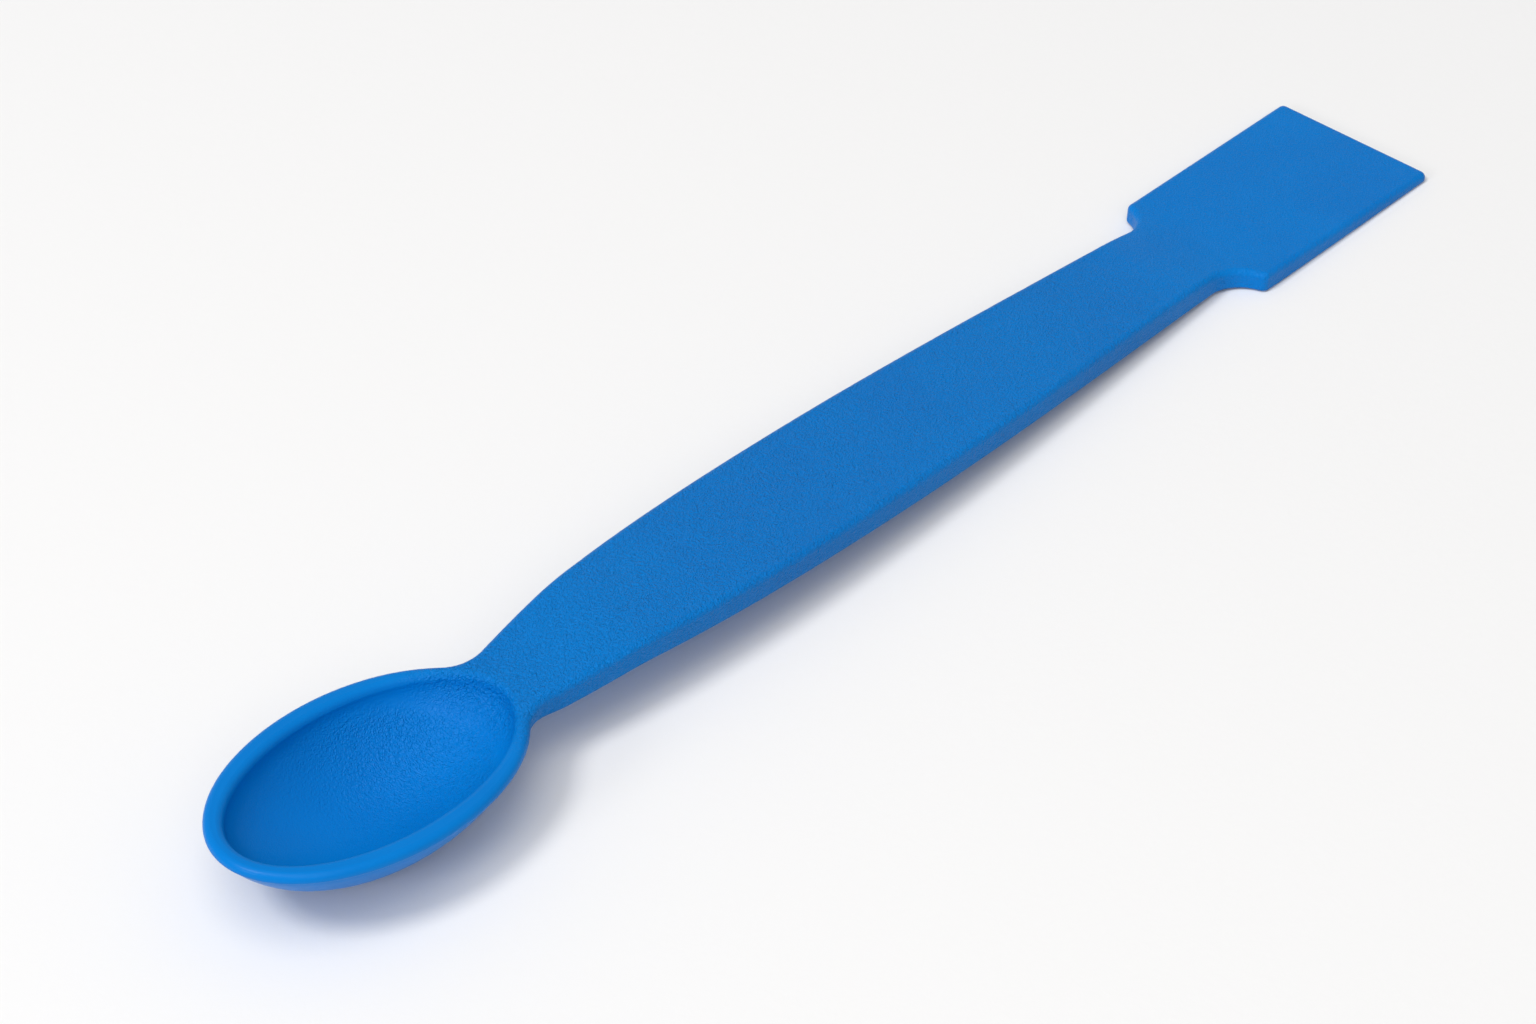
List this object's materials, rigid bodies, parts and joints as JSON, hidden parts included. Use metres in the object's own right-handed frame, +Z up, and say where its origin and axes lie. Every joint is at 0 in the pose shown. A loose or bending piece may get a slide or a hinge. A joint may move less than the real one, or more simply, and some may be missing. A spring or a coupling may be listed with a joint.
{
  "type": "double-ended spoon and spatula",
  "caption": "Flat plastic hand tool with an oval spoon bowl at one end and a square-ended blade at the other, for scooping, counting and scraping powders and tablets.",
  "frame": {"origin": "on the table under the middle of the tool, at the centre of its footprint", "axes": "+X along the handle from the bowl to the blade, +Z up as the tool lies on a table with the hollow facing up, +Y across"},
  "size_m": [0.1798, 0.0238, 0.0104],
  "materials": {
    "moulded_plastic": "satin moulded blue with a fine leather grain on the flat faces and in the bowl"
  },
  "bodies": {
    "root": {"spoon_spatula": "moulded_plastic"}
  },
  "joints": []
}
